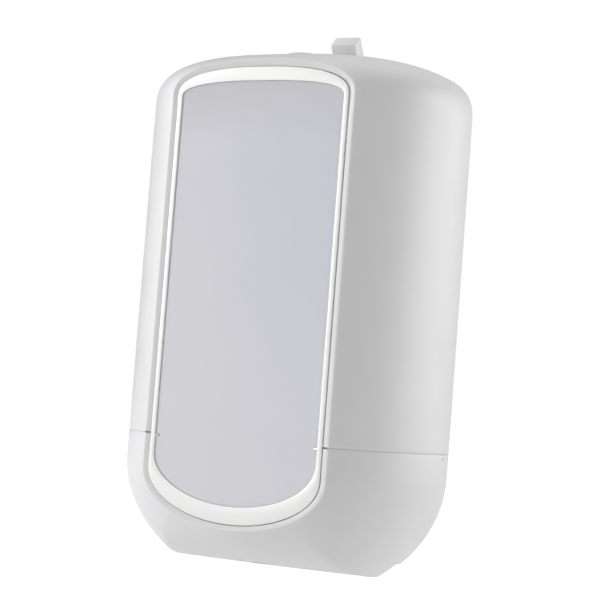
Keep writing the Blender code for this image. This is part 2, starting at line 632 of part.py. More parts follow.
def reservoir():
    obj = part("reservoir", level_sheet("reservoir", [tank_outline(0)], TANK_BOTTOM, TANK_TOP), NATURAL)
    spout = rod("spout", SPOUT_RADIUS, (0, PORT_Y, SPOUT_END), (0, PORT_Y, TANK_BOTTOM + BITE), 20)
    join(obj, cutter("tank_spout", spout))
    hollow = level_sheet("hollow", [tank_outline(TANK_WALL)], TANK_BOTTOM + TANK_WALL, TANK_TOP + OVERSHOOT)
    drain = rod("drain", DRAIN_RADIUS, (0, PORT_Y, SPOUT_END - OVERSHOOT),
                (0, PORT_Y, TANK_BOTTOM + 0.010), 16)
    cut(obj, cutter("tank_hollow", hollow), cutter("tank_drain", drain))
    return obj


def tank_closure():
    gasket_top = TANK_TOP + GAP + GASKET_HEIGHT
    part("lid_gasket", level_sheet("lid_gasket", [tank_outline(0.0001), tank_outline(TANK_WALL)],
                                   TANK_TOP + GAP, gasket_top), RUBBER)
    lid_low = gasket_top + GAP
    mesh = level_sheet("reservoir_lid", [tank_outline(0)], lid_low, lid_low + LID_HEIGHT)
    lid = part("reservoir_lid", mesh, NATURAL)
    plug = level_sheet("plug", [tank_outline(TANK_WALL + 2 * GAP)], TANK_TOP - LID_PLUG_DEPTH,
                       gasket_top + GAP + BITE)
    join(lid, cutter("lid_plug", plug))


# ---------------------------------------------------------------- pump
BARREL_RADIUS, BARREL_BORE = 0.0100, 0.0075
BARREL_FRONT, BARREL_END = -0.0390, -0.0190
SOCKET_TOP, SOCKET_FLOOR = 0.0700, 0.0630
STUB_BOTTOM, STUB_RADIUS = 0.0360, 0.0050
SOCKET_RADIUS, SOCKET_BORE, SEAL_GROOVE, SEAL_GROOVE_LOW = 0.0085, 0.0060, 0.0074, 0.0678
PORT_RADIUS = 0.0022
FLANGE_HALF_WIDTH, FLANGE_HALF_HEIGHT = 0.0225, 0.0065
SCREW_HEAD, SCREW_SHANK = 0.0030, 0.0015
PISTON_FRONT, PISTON_REAR, PISTON_RADIUS = -0.0385, -0.0345, 0.0071
PISTON_GROOVE, PISTON_GROOVE_RADIUS = (-0.0374, -0.0356), 0.0058
PLUNGER_FRONT, PLUNGER_RADIUS = -0.0592, 0.0035
HEAD_FRONT, HEAD_REAR, HEAD_RADIUS = -0.0605, -0.0576, 0.0090
ALONG_WALL = (-math.pi / 2, 0, 0)     # turns a piece's own +Z into +Y


def pump_body():
    mesh = rod("pump_body", BARREL_RADIUS, (0, BARREL_FRONT, PUMP_Z), (0, FLANGE_REAR, PUMP_Z), 28)
    obj = part("pump_body", mesh, NATURAL)
    flange = box("flange", (-FLANGE_HALF_WIDTH, FLANGE_HALF_WIDTH), (FLANGE_FRONT, FLANGE_REAR),
                 (PUMP_Z - FLANGE_HALF_HEIGHT, PUMP_Z + FLANGE_HALF_HEIGHT))
    socket = rod("socket", SOCKET_RADIUS, (0, PORT_Y, PUMP_Z), (0, PORT_Y, SOCKET_TOP), 24)
    stub = rod("stub", STUB_RADIUS, (0, PORT_Y, PUMP_Z), (0, PORT_Y, STUB_BOTTOM), 20)
    join(obj, cutter("pump_flange", flange), cutter("pump_socket", socket), cutter("pump_stub", stub))
    bore = rod("bore", BARREL_BORE, (0, BARREL_FRONT - OVERSHOOT, PUMP_Z), (0, BARREL_END, PUMP_Z), 28)
    well = rod("well", SOCKET_BORE, (0, PORT_Y, SOCKET_FLOOR), (0, PORT_Y, SOCKET_TOP + OVERSHOOT), 20)
    groove = rod("groove", SEAL_GROOVE, (0, PORT_Y, SEAL_GROOVE_LOW), (0, PORT_Y, SOCKET_TOP + OVERSHOOT), 20)
    port = rod("port", PORT_RADIUS, (0, PORT_Y, STUB_BOTTOM - OVERSHOOT),
               (0, PORT_Y, SOCKET_FLOOR + BITE), 14)
    cut(obj, cutter("pump_bore", bore), cutter("pump_well", well), cutter("pump_groove", groove),
        cutter("pump_port", port))
    for side, label in ((-1, "left"), (1, "right")):
        x = side * PUMP_POST_X
        front, rear = FLANGE_FRONT - OVERSHOOT, FLANGE_REAR + OVERSHOOT
        hole = rod("hole", SCREW_HOLE, (x, front, PUMP_Z), (x, rear, PUMP_Z), 12)
        cut(obj, cutter("flange_hole_" + label, hole))
        screw("pump_screw_" + label, SCREW_HEAD, 0.0018, SCREW_SHANK, 0.0108, ORIGIN,
              (x, FLANGE_FRONT - GAP, PUMP_Z), (math.pi / 2, 0, 0))
    return obj


def pump_pieces():
    gland_front = BARREL_FRONT - 0.0033
    inner, outer = PLUNGER_RADIUS + 0.0004, BARREL_RADIUS + 0.0004
    profile = [(outer, 0.0030), (outer, 0), (inner, 0), (inner, 0.0030)]
    turned("pump_gland", profile, GREY, ORIGIN, (0, gland_front, PUMP_Z), ALONG_WALL, steps=28)

    groove_front, groove_rear = PISTON_GROOVE
    profile = [(0, PISTON_REAR), (PISTON_RADIUS, PISTON_REAR), (PISTON_RADIUS, groove_rear),
               (PISTON_GROOVE_RADIUS, groove_rear), (PISTON_GROOVE_RADIUS, groove_front),
               (PISTON_RADIUS, groove_front), (PISTON_RADIUS, PISTON_FRONT), (PLUNGER_RADIUS, PISTON_FRONT),
               (PLUNGER_RADIUS, PLUNGER_FRONT), (0, PLUNGER_FRONT)]
    turned("pump_plunger", profile, NATURAL, PLUNGER_AXIS, (0, 0, 0), ALONG_WALL, steps=24)

    ring_y = sum(PISTON_GROOVE) / 2
    turned("plunger_seal", seal_ring(0.0067), RUBBER, PLUNGER_AXIS, (0, ring_y, 0), ALONG_WALL, steps=24)

    socket, socket_floor = PLUNGER_RADIUS + 0.0004, PLUNGER_FRONT - GAP
    head = [(HEAD_RADIUS, HEAD_REAR), (HEAD_RADIUS, HEAD_FRONT + 0.0018), (0.0075, HEAD_FRONT + 0.0008),
            (0.0030, HEAD_FRONT), (0, HEAD_FRONT)]
    head = [(0, socket_floor), (socket, socket_floor), (socket, HEAD_REAR)] + head
    turned("plunger_head", head, GREY, PLUNGER_AXIS, (0, 0, 0), ALONG_WALL, steps=24)

    spring_start = HEAD_REAR + GAP
    coil("pump_spring", 0.0062, 0.0009, 4.5, gland_front - GAP - spring_start, STEEL, PLUNGER_AXIS,
         (0, spring_start, 0), ALONG_WALL)


def seal_ring(radius, thickness=0.0005):
    """Profile of an O-ring: a small circle of points round the given radius."""
    return [(radius + thickness * math.sin(a), thickness * math.cos(a))
            for a in spread(0, 2 * math.pi, 8)[:-1]]


def port_pieces():
    profile = [(0, 0.0014), (0.0012, 0.0013), (0.0035, 0.0009), (0.0052, 0.0004), (0.0052, 0), (0, 0)]
    turned("inlet_valve", profile, RUBBER, ORIGIN, (0, PORT_Y, SOCKET_FLOOR + GAP), steps=20)
    turned("spout_seal", seal_ring(0.00655), RUBBER, ORIGIN, (0, PORT_Y, SEAL_GROOVE_LOW + 0.0010), steps=24)
    profile = [(0.0047, 0.0012), (0.0047, 0), (0.0027, 0), (0.0019, -0.0060), (0.0012, -0.0060),
               (0.0018, -0.0005), (0.0018, 0.0012)]
    turned("outlet_valve", profile, RUBBER, ORIGIN, (0, PORT_Y, 0.0342), steps=16)


def nozzle():
    """A sleeve under the pump's stub with a slanted spout that ends above the casing's outlet."""
    low, high, seat = 0.0275, 0.0396, 0.0339
    obj = part("nozzle", rod("nozzle", 0.0076, (0, PORT_Y, low), (0, PORT_Y, high), 24), GREY)
    elbow, tip = Vector((0, PORT_Y, 0.0300)), Vector((0, OUTLET_Y, 0.0068))
    run = (tip - elbow).normalized()
    join(obj, cutter("nozzle_spout", rod("spout", 0.0058, elbow, tip, 20, end_radius=0.0042)))
    well = rod("well", STUB_RADIUS + GAP, (0, PORT_Y, seat), (0, PORT_Y, high + OVERSHOOT), 20)
    throat = rod("throat", 0.0031, (0, PORT_Y, low + 0.0007), (0, PORT_Y, seat + 0.0011), 16)
    channel = rod("channel", 0.0029, elbow, tip + run * OVERSHOOT, 16)
    cut(obj, cutter("nozzle_well", well), cutter("nozzle_throat", throat), cutter("nozzle_channel", channel))
    return obj


# ---------------------------------------------------------------- latch and lock
TAB_HALF, TAB_FOOT = 0.0065, 0.2454
TAB_SIDE = ((-0.0103, TAB_FOOT), (-0.0103, 0.2494), (-0.0146, 0.2560), (-0.0090, 0.2608), (-0.0080, 0.2608),
            (-0.0013, 0.2508), (-0.0013, TAB_FOOT))     # the tab seen from the side: it leans away from the wall
LOCK_BARREL_RADIUS, LOCK_BARREL_TOP, LOCK_BARREL_END = 0.0042, 0.0012, -0.0085
LOCK_SCREW_HOLE = 0.0017


def release_latch():
    """Press tab above the casing, a stem in the back plate's guide and a nose under the keeper."""
    mesh = side_sheet("release_latch", TAB_SIDE, LATCH_X - TAB_HALF, LATCH_X + TAB_HALF)
    obj = part("release_latch", mesh, WHITE, LATCH_AXIS)
    stem = box("stem", (LATCH_X - 0.0054, LATCH_X + 0.0054), (-0.0090, -0.0031), (0.2374, TAB_FOOT + 0.001))
    nose = box("nose", (LATCH_X - 0.0050, LATCH_X + 0.0050), (-0.0150, -0.0080), (LATCH_Z, LATCH_Z + 0.0026))
    join(obj, cutter("latch_stem", stem, LATCH_AXIS), cutter("latch_nose", nose, LATCH_AXIS))
    spring_foot = GUIDE_BOTTOM + 0.0015
    coil("latch_spring", 0.0022, 0.0006, 4, 0.0056, STEEL, LATCH_AXIS, (0, 0, spring_foot - LATCH_Z),
         (0, 0, 0), points_per_turn=9)
    return obj


def lock():
    """Rosette, nut, barrel, cam and its screw, drawn along the lock's own axis with z = 0 on the casing."""
    flange, sleeve, bore = 0.0076, 0.0055, 0.0046
    profile = [(bore, 0.0014), (sleeve, 0.0016), (flange - 0.0012, 0.0013), (flange, 0.0007),
               (flange, 0.0004), (sleeve, 0.0004), (sleeve, -0.0070), (bore, -0.0070)]
    turned("lock_rosette", profile, WHITE, LOCK_AXIS, steps=28)
    nut = part("lock_nut", rod("lock_nut", 0.0088, (0, 0, -0.0064), (0, 0, -0.0034), 6), GREY, LOCK_AXIS)
    cut(nut, cutter("nut_bore", rod("bore", LOCK_HOLE, (0, 0, -0.0100), (0, 0, 0), 24), LOCK_AXIS))
    mesh = rod("lock_barrel", LOCK_BARREL_RADIUS, (0, 0, LOCK_BARREL_END), (0, 0, LOCK_BARREL_TOP), 24)
    barrel = part("lock_barrel", mesh, GREY, LOCK_AXIS)
    keyway = box("keyway", (-0.0005, 0.0005), (-0.0024, 0.0024), (LOCK_BARREL_TOP - 0.0010, 0.0030))
    socket = rod("socket", LOCK_SCREW_HOLE, (0, 0, -0.0110), (0, 0, -0.0046), 12)
    cut(barrel, cutter("keyway", keyway, LOCK_AXIS), cutter("barrel_socket", socket, LOCK_AXIS))
    cam_top = LOCK_BARREL_END - GAP
    arm = box("lock_cam", (-0.0140, 0.0040), (-0.0038, 0.0038), (cam_top - 0.0016, cam_top))
    cam = part("lock_cam", arm, STEEL, LOCK_AXIS)
    hole = rod("hole", LOCK_SCREW_HOLE, (0, 0, cam_top - 0.0040), (0, 0, cam_top + 0.0020), 12)
    cut(cam, cutter("cam_hole", hole, LOCK_AXIS))
    seat = (0, 0, cam_top - 0.0016 - GAP)
    screw("cam_screw", 0.0028, 0.0016, 0.0013, 0.0055, LOCK_AXIS, seat, (math.pi, 0, 0))


# ---------------------------------------------------------------- assembly
bpy.context.view_layer.update()
back_plate()
upper_cover()
lower_cover()
cover_fasteners()
trim_ring()
window_panel()
panel_carrier()
reservoir()
tank_closure()
pump_body()
pump_pieces()
port_pieces()
nozzle()
release_latch()
lock()
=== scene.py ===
"""Looks of the wall mounted soap dispenser: covers, push panel, latch, lock, inner pieces, materials, light.

Row frame in metres: the wall is the plane y = 0, the front faces -Y, +Z is up and +X is to the right.
"""
import json
import math

import bmesh
import bpy
import numpy as np
from mathutils import Matrix, Quaternion, Vector

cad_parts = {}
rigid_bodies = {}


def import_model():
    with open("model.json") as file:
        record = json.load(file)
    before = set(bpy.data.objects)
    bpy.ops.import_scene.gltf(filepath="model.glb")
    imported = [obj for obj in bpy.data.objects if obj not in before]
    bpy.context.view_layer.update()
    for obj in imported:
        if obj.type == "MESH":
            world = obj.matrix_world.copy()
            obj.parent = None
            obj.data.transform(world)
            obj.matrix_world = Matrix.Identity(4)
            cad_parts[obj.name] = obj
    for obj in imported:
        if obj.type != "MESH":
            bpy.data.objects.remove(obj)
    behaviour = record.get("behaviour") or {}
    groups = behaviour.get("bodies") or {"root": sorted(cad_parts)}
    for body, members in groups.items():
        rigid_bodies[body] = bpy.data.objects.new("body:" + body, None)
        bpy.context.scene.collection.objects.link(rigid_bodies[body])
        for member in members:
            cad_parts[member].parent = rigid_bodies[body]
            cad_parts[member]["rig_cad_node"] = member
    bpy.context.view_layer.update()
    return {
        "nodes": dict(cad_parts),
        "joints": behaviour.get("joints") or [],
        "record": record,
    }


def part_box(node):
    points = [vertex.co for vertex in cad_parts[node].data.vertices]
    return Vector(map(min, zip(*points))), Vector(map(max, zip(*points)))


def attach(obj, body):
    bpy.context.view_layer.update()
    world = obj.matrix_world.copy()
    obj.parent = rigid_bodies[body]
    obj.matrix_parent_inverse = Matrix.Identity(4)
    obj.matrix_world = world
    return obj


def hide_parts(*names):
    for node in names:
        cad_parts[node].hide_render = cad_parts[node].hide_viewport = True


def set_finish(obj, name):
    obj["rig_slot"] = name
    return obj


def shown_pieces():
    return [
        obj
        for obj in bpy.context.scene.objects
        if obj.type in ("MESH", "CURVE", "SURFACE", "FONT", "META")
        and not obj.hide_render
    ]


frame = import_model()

NODES = frame["nodes"]
SLOT_OF = {subpart["node"]: subpart["material_slot"] for subpart in frame["record"]["subparts"]}

# ---------------------------------------------------------------- sizes, from the frame
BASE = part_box("lower_cover")[0].z
COVER_LOW, COVER_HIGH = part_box("upper_cover")
HALF_WIDTH, CROWN, FRONT = COVER_HIGH.x, COVER_HIGH.z, COVER_LOW.y
REAR = COVER_HIGH.y
RING_LOW, RING_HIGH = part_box("trim_ring")
PANE_LOW, PANE_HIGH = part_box("window_panel")
SEAM_GAP = COVER_LOW.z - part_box("lower_cover")[1].z
SEAM = COVER_LOW.z - SEAM_GAP / 2

# ---------------------------------------------------------------- shapes that the boxes don't hold
ARCH_RISE, ARCH_EXPONENT = 0.0305, 3.0     # the superelliptical crown
CORNER_START = 0.050             # where the lower corners begin, above the base
CORNER_SWEEP = math.radians(50)
FLOOR_HALF_WIDTH = 0.0510
BULGE_EXPONENT = 2.3             # superellipse of the plan section
WALL = 0.0022
PANEL_TOP_RISE, PANEL_BOTTOM_RISE, PANEL_TOP_EXPONENT = 0.0138, 0.0235, 2.5
ARC_LIFT = 0.85        # an inner outline's lower arc moves up by this share of its inset
PANEL_ARC_SPLIT = math.radians(50)
RIM_WIDTH, RIM_TOP_WIDTH = 0.0030, 0.0036
LIP_GAP = 0.00030                # between ring and casing
LIP_SLOPE = 0.0010               # how far the rim falls back towards the ring, at the crown
LIP_TOP, LIP_SIDE_SHARE = 0.024, 0.35    # lower than LIP_TOP below the ring's top it falls back by this share
WELL_WALL, WELL_REAR = 0.0020, -0.0545
SEAM_CLEAR = 0.0020              # no outline point lies nearer to the seam than this
SEAM_OPEN, SEAM_ROUND = 0.00010, 0.00010
RIM_ROUND, RIM_FLAT_ROUND, LIP_ROUND = 0.0009, 0.0006, 0.0002
CASING_EDGE = 0.0004             # softening of the casing's edges at the wall and at the back of the well
TOP_STEPS, SIDE_STEPS, BELOW_STEPS, CORNER_STEPS, FLOOR_STEPS = 44, 14, 4, 24, 16
FLANK_STEPS, INSIDE_STEPS, ROUND_STEPS, LIP_STEPS, ENVELOPE_STEPS = 26, 12, 7, 4, 9


# ---------------------------------------------------------------- mesh helpers
SMOOTH_ANGLE = math.radians(32)


def shade(mesh):
    mesh.shade_smooth()
    mesh.set_sharp_from_angle(angle=SMOOTH_ANGLE)


def to_object(bm, name):
    bmesh.ops.recalc_face_normals(bm, faces=bm.faces)
    mesh = bpy.data.meshes.new(name)
    bm.to_mesh(mesh)
    bm.free()
    shade(mesh)
    obj = bpy.data.objects.new(name, mesh)
    bpy.context.scene.collection.objects.link(obj)
    return obj


def loft(name, rows, closed_rows=False, closed_profile=False, caps=False, lids=False):
    """Quads between rows of points.

    closed_rows joins each row's ends, closed_profile the last row to the first. caps closes the two ends of
    open rows; lids fills the first and the last of closed rows.
    """
    bm = bmesh.new()
    grid = [[bm.verts.new(point) for point in row] for row in rows]
    pairs = list(zip(grid, grid[1:]))
    if closed_profile:
        pairs.append((grid[-1], grid[0]))
    width = len(grid[0])
    for near, far in pairs:
        for i in range(width if closed_rows else width - 1):
            j = (i + 1) % width
            bm.faces.new((near[i], far[i], far[j], near[j]))
    if caps:
        bm.faces.new([row[0] for row in grid])
        bm.faces.new([row[-1] for row in reversed(grid)])
    if lids:
        bm.faces.new(grid[0])
        bm.faces.new(grid[-1])
    return to_object(bm, name)


def apply_modifiers(obj):
    """Replaces an object's mesh by what its modifiers make of it."""
    evaluated = obj.evaluated_get(bpy.context.evaluated_depsgraph_get())
    obj.data = bpy.data.meshes.new_from_object(evaluated)
    obj.modifiers.clear()


def combine(target, operation, tools):
    """Boolean of target with each tool in turn; the tools are used up."""
    for tool in tools:
        mod = target.modifiers.new("combine", "BOOLEAN")
        mod.operation = operation
        mod.solver = "EXACT"
        mod.object = tool
    bpy.context.view_layer.update()
    apply_modifiers(target)
    shade(target.data)
    for tool in tools:
        bpy.data.objects.remove(tool)
    return target


def block(x, y, z, rounding=0.0, segments=3, along=None):
    """A block between the pairs x, y and z with rounded edges; along limits that to the edges of one axis."""
    low = Vector((min(x), min(y), min(z)))
    high = Vector((max(x), max(y), max(z)))
    bm = bmesh.new()
    bmesh.ops.create_cube(bm, size=1.0, matrix=Matrix.Translation((low + high) / 2)
                          @ Matrix.Diagonal((*(high - low), 1.0)))
    if rounding:
        edges = [e for e in bm.edges if along is None
                 or abs((e.verts[0].co - e.verts[1].co).normalized()[along]) > 0.9]
        bmesh.ops.bevel(bm, geom=edges, offset=rounding, segments=segments, profile=0.5, affect="EDGES")
    return to_object(bm, "block")


def rod(radius, start, end, segments=48):
    start, end = Vector(start), Vector(end)
    turn = (end - start).to_track_quat("Z", "Y").to_matrix().to_4x4()
    bm = bmesh.new()
    bmesh.ops.create_cone(bm, cap_ends=True, segments=segments, radius1=radius, radius2=radius,
                          depth=(end - start).length, matrix=Matrix.Translation((start + end) / 2) @ turn)
    return to_object(bm, "rod")


def extruded(name, outline, low, high, rounding):
    """A closed outline in y and z, drawn out along X and rounded on all its edges."""
    bm = bmesh.new()
    near = [bm.verts.new((low, y, z)) for y, z in outline]
    face = bm.faces.new(near)
    grown = bmesh.ops.extrude_face_region(bm, geom=[face])
    moved = [v for v in grown["geom"] if isinstance(v, bmesh.types.BMVert)]
    bmesh.ops.translate(bm, verts=moved, vec=(high - low, 0, 0))
    bmesh.ops.recalc_face_normals(bm, faces=bm.faces)
    bmesh.ops.bevel(bm, geom=list(bm.edges), offset=rounding, segments=4, profile=0.5, affect="EDGES",
                    clamp_overlap=True)
    return to_object(bm, name)


def turned(name, profile, steps=96, matrix=Matrix.Identity(4)):
    """A turned piece from (radius, height) points; points on the axis close it, else it is a ring."""
    bm = bmesh.new()
    rings = []
    for radius, height in profile:
        if radius == 0:
            rings.append([bm.verts.new(matrix @ Vector((0, 0, height)))])
        else:
            rings.append([bm.verts.new(matrix @ Vector((radius * math.cos(a), radius * math.sin(a), height)))
                          for a in np.linspace(0, 2 * math.pi, steps, endpoint=False)])
    pairs = list(zip(rings, rings[1:]))
    if len(rings[0]) > 1:
        pairs.append((rings[-1], rings[0]))
    for near, far in pairs:
        for i in range(steps):
            j = (i + 1) % steps
            corners = [near[i % len(near)], far[i % len(far)], far[j % len(far)], near[j % len(near)]]
            corners = list(dict.fromkeys(corners))
            if len(corners) > 2:
                bm.faces.new(corners)
    return to_object(bm, name)


# ---------------------------------------------------------------- outlines
def whole(right_half):
    """Mirrors a right half that runs from the top centre to the bottom centre."""
    return np.vstack([right_half, right_half[-2:0:-1] * (-1, 1)])


def side_levels(shoulder, elbow):
    """Heights of an outline's straight side, with a gap round the seam where the covers' ends are put."""
    above = np.linspace(shoulder, SEAM + SEAM_CLEAR, SIDE_STEPS)
    below = np.linspace(SEAM - SEAM_CLEAR, elbow, BELOW_STEPS)
    return np.concatenate([above, below])[1:]


def rear_outline(inset=0.0):
    """Casing's outline at the wall: superelliptical crown, straight sides, cut-off lower corners, floor."""
    half, crown = HALF_WIDTH - inset, CROWN - inset
    shoulder, elbow = CROWN - ARCH_RISE, BASE + CORNER_START
    floor_half = FLOOR_HALF_WIDTH - inset / 2
    reach = (half - floor_half) / (1 - math.cos(CORNER_SWEEP))
    drop = (CORNER_START - inset) / math.sin(CORNER_SWEEP)
    a = np.linspace(0, math.pi / 2, TOP_STEPS)
    power = 2 / ARCH_EXPONENT
    b = np.linspace(0, CORNER_SWEEP, CORNER_STEPS)[1:]
    levels = side_levels(shoulder, elbow)
    floor_x = np.linspace(floor_half, 0, FLOOR_STEPS)[1:]
    x = np.concatenate([half * np.sin(a) ** power, np.full(len(levels), half),
                        half - reach * (1 - np.cos(b)), floor_x])
    z = np.concatenate([shoulder + (crown - shoulder) * np.clip(np.cos(a), 0, 1) ** power, levels,
                        elbow - drop * np.sin(b), np.full(len(floor_x), BASE + inset)])
    return whole(np.column_stack([x, z]))


def panel_outline(side=0.0, top=0.0, bottom=0.0):
    """Outline of the push panel, moved outwards by the given amounts."""
    half = RING_HIGH.x + side
    lift = ARC_LIFT * max(-bottom, 0)
    shoulder, elbow = RING_HIGH.z - PANEL_TOP_RISE, RING_LOW.z + PANEL_BOTTOM_RISE + lift
    rise, drop = PANEL_TOP_RISE + top, PANEL_BOTTOM_RISE + bottom + lift
    power = 2 / PANEL_TOP_EXPONENT
    a = np.linspace(0, math.pi / 2, TOP_STEPS)
    b = np.concatenate([np.linspace(0, PANEL_ARC_SPLIT, CORNER_STEPS)[1:],
                        np.linspace(PANEL_ARC_SPLIT, math.pi / 2, FLOOR_STEPS)[1:]])
    levels = side_levels(shoulder, elbow)
    x = np.concatenate([half * np.sin(a) ** power, np.full(len(levels), half), half * np.cos(b)])
    crown = shoulder + rise * np.clip(np.cos(a), 0, 1) ** power
    z = np.concatenate([crown, levels, elbow - drop * np.sin(b)])
    x[-1] = 0
    return whole(np.column_stack([x, z]))


def panel_offset(distance):
    return panel_outline(distance, distance, distance)


def level(outline, y):
    """An outline as a row of points at depth y, which may differ from point to point."""
    return np.column_stack([outline[:, 0], np.broadcast_to(y, len(outline)), outline[:, 1]])


def towards(start, end, distance):
    """Points at a distance from start along the way to end."""
    way = end - start
    return start + way * (distance / np.linalg.norm(way, axis=1))[:, None]


def curve(start, control, end, steps):
    """Rows from start to end, both included, round the corner that control marks."""
    return [(1 - t) ** 2 * start + 2 * t * (1 - t) * control + t * t * end
            for t in np.linspace(0, 1, steps + 1)]


# ---------------------------------------------------------------- covers
EDGE = (RING_HIGH.x + RIM_WIDTH) / HALF_WIDTH
REACH = (1 - EDGE ** BULGE_EXPONENT) ** (1 / BULGE_EXPONENT)
RIM = panel_outline(RIM_WIDTH, RIM_TOP_WIDTH, RIM_WIDTH)
DENSE_STEPS, ROUNDING_SEARCH = 400, 300     # samples for measuring along the side's curve


def side_width(advance):
    """Half width of the bulging plan section at each share of the way to the front, the widest being 1."""
    return (1 - (REACH * advance) ** BULGE_EXPONENT) ** (1 / BULGE_EXPONENT)


def rear_share(advance):
    """How much of the rear outline, as against the rim's, the section has there."""
    return (side_width(advance) - EDGE) / (1 - EDGE)


def flank_row(advance, rear, rim, front):
    """Where the casing's side is after each point's share of its way from the wall to the front."""
    outline = rim + (rear - rim) * rear_share(advance)[:, None]
    return level(outline, REAR + (front - REAR) * advance)


def even_advances(last, steps):
    """Shares of the way to the front, spaced evenly along the side's curve, for each point's last one."""
    dense = np.linspace(0, 1, DENSE_STEPS)
    width = side_width(dense) * HALF_WIDTH
    run = np.concatenate([[0], np.cumsum(np.hypot(np.diff(width), np.diff(dense) * (REAR - FRONT)))])
    ends = np.interp(last, dense, run)
    return [np.interp(ends * t, run, dense) for t in np.linspace(0, 1, steps)]


def rounding_start(rear, distance):
    """How far each point's side runs before it is that distance from the rim's corner."""
    dense = np.linspace(1, 0.3, ROUNDING_SEARCH)
    share, depth = rear_share(dense), (1 - dense) * (REAR - FRONT)
    lateral = np.linalg.norm(rear - RIM, axis=1)
    return np.array([np.interp(distance, np.hypot(share * side, depth), dense) for side in lateral])


def casing_profile():
    """Rows round the casing's wall: outer side, rim, sleeve of the panel, and back along the inside."""
    rear, land, sleeve = rear_outline(), panel_offset(LIP_GAP), panel_offset(WELL_WALL)
    rows = [level(rear_outline(CASING_EDGE), REAR)]
    start = rounding_start(rear, RIM_ROUND)
    flank = [flank_row(a, rear, RIM, FRONT) for a in even_advances(start, FLANK_STEPS)]
    flank[0][:, 1] -= CASING_EDGE
    rows += flank
    above = np.clip((land[:, 1] - (RING_HIGH.z - LIP_TOP)) / LIP_TOP, 0, 1)
    fall = LIP_SLOPE * (LIP_SIDE_SHARE + (1 - LIP_SIDE_SHARE) * above)
    corner, lip = level(RIM, FRONT), level(land, FRONT + fall)
    rows += curve(flank[-1], corner, towards(corner, lip, RIM_FLAT_ROUND), ROUND_STEPS)[1:]
    rows += curve(towards(lip, corner, LIP_ROUND), lip, level(land, FRONT + fall + LIP_ROUND), LIP_STEPS)
    rows.append(level(land, WELL_REAR - CASING_EDGE / 2))
    rows.append(level(panel_offset(LIP_GAP + CASING_EDGE / 2), WELL_REAR))
    rows.append(level(panel_offset(WELL_WALL - CASING_EDGE / 2), WELL_REAR))
    rows.append(level(sleeve, WELL_REAR - CASING_EDGE / 2))
    inner_rear = rear_outline(WALL)
    advances = even_advances(np.ones(len(sleeve)), INSIDE_STEPS)
    rows += [flank_row(a, inner_rear, sleeve, FRONT + WALL) for a in reversed(advances)]
    return rows


def cover_strip(name, rows, start, stop, end):
    """The casing from outline point start round to stop; its flat ends are at height end."""
    count = len(rows[0])
    picks = [i % count for i in range(start, stop + 1)]
    strip = []
    for row in rows:
        points = row[picks].copy()
        points[0, 2] = points[-1, 2] = end
        strip.append(points)
    obj = loft(name, strip, closed_profile=True, caps=True)
    bm = bmesh.new()
    bm.from_mesh(obj.data)
    bm.faces.ensure_lookup_table()
    caps = [f for f in bm.faces if len(f.verts) > 4]
    edges = {e for f in caps for e in f.edges}
    bmesh.ops.bevel(bm, geom=list(edges), offset=SEAM_ROUND, segments=2, profile=0.5, affect="EDGES",
                    clamp_overlap=False)
    bm.to_mesh(obj.data)
    bm.free()
    return obj


def envelope(inset):
    """A solid that fills the casing, inset from its outer side."""
    rear, rim = rear_outline(inset), panel_offset(RIM_WIDTH - inset)
    advances = np.sin(np.linspace(0, math.pi / 2, ENVELOPE_STEPS))
    rows = [flank_row(np.full(len(rear), a), rear, rim, FRONT + inset) for a in advances]
    return loft("envelope", rows, closed_rows=True, lids=True)


def joined(pieces):
    """One object from several that don't touch."""
    bm = bmesh.new()
    for piece in pieces:
        bm.from_mesh(piece.data)
        bpy.data.objects.remove(piece)
    return to_object(bm, "joined")


def inner_fittings(shell, pieces):
    """Joins bosses and lugs to a cover, trimmed so that they end within its wall."""
    fittings = combine(joined(pieces), "INTERSECT", [envelope(WALL / 2)])
    return combine(shell, "UNION", [fittings])


def middle(low_high, axis):
    return (low_high[0][axis] + low_high[1][axis]) / 2


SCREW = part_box("cover_screw_right")
SCREW_X, SCREW_Y = middle(SCREW, 0), middle(SCREW, 1)
BORE, BORE_STEPS = 0.0019, 24
BOSS_RADIUS, BOSS_CLEAR = 0.0050, 0.0001
BOSS_FOOT, BOSS_TOP = BASE + 0.052, BASE + 0.075
SCREW_FOOT, SCREW_TOP = BASE + 0.050, BASE + 0.0735
BORE_PAST_SEAM = 0.002
PANEL_PIN, HINGE_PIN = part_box("panel_pin_right"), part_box("cover_hinge_pin_right")
HANGER_X = (PANEL_PIN[1].x - 0.0048, PANEL_PIN[1].x - 0.0006)
HANGER_Y = (middle(PANEL_PIN, 1) - 0.0033, middle(PANEL_PIN, 1) + 0.0035)
HANGER_FOOT, HANGER_ROUND = BASE + 0.2225, 0.0008
HINGE_LUG_X = (HINGE_PIN[0].x + 0.0010, HINGE_PIN[1].x - 0.0064)
HINGE_LUG_RADIUS, HINGE_LUG_ROUND = 0.0032, 0.0006
LATCH_LOW, LATCH_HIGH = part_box("release_latch")
LATCH_X = (LATCH_LOW.x + LATCH_HIGH.x) / 2
KEEPER_HALF, KEEPER_Y, KEEPER_FOOT, KEEPER_ROUND = 0.0062, (-0.0158, -0.0140), BASE + 0.2430, 0.0004
SLOT_HALF, SLOT_Y, SLOT_FOOT, SLOT_ROUND = 0.0074, (-0.0128, 0.004), BASE + 0.238, 0.0009
LOCK_TILT = math.radians(5.0)
LOCK_POINT = Vector(next(j["pos_m"] for j in frame["joints"] if j["name"] == "lock_turn"))
LOCK_FRAME = Matrix.Translation(LOCK_POINT) @ Matrix.Rotation(LOCK_TILT, 4, "X")
LOCK_HOLE, LOCK_HOLE_HALF = 0.0059, 0.010
LIP_NOTCH = 0.0004               # half height of the notch where the seam crosses the rim
RELIEF_X, RELIEF_Y, RELIEF_Z = (-0.060, 0.060), (-0.006, 0.004), (BASE - 0.002, BASE + 0.0085)
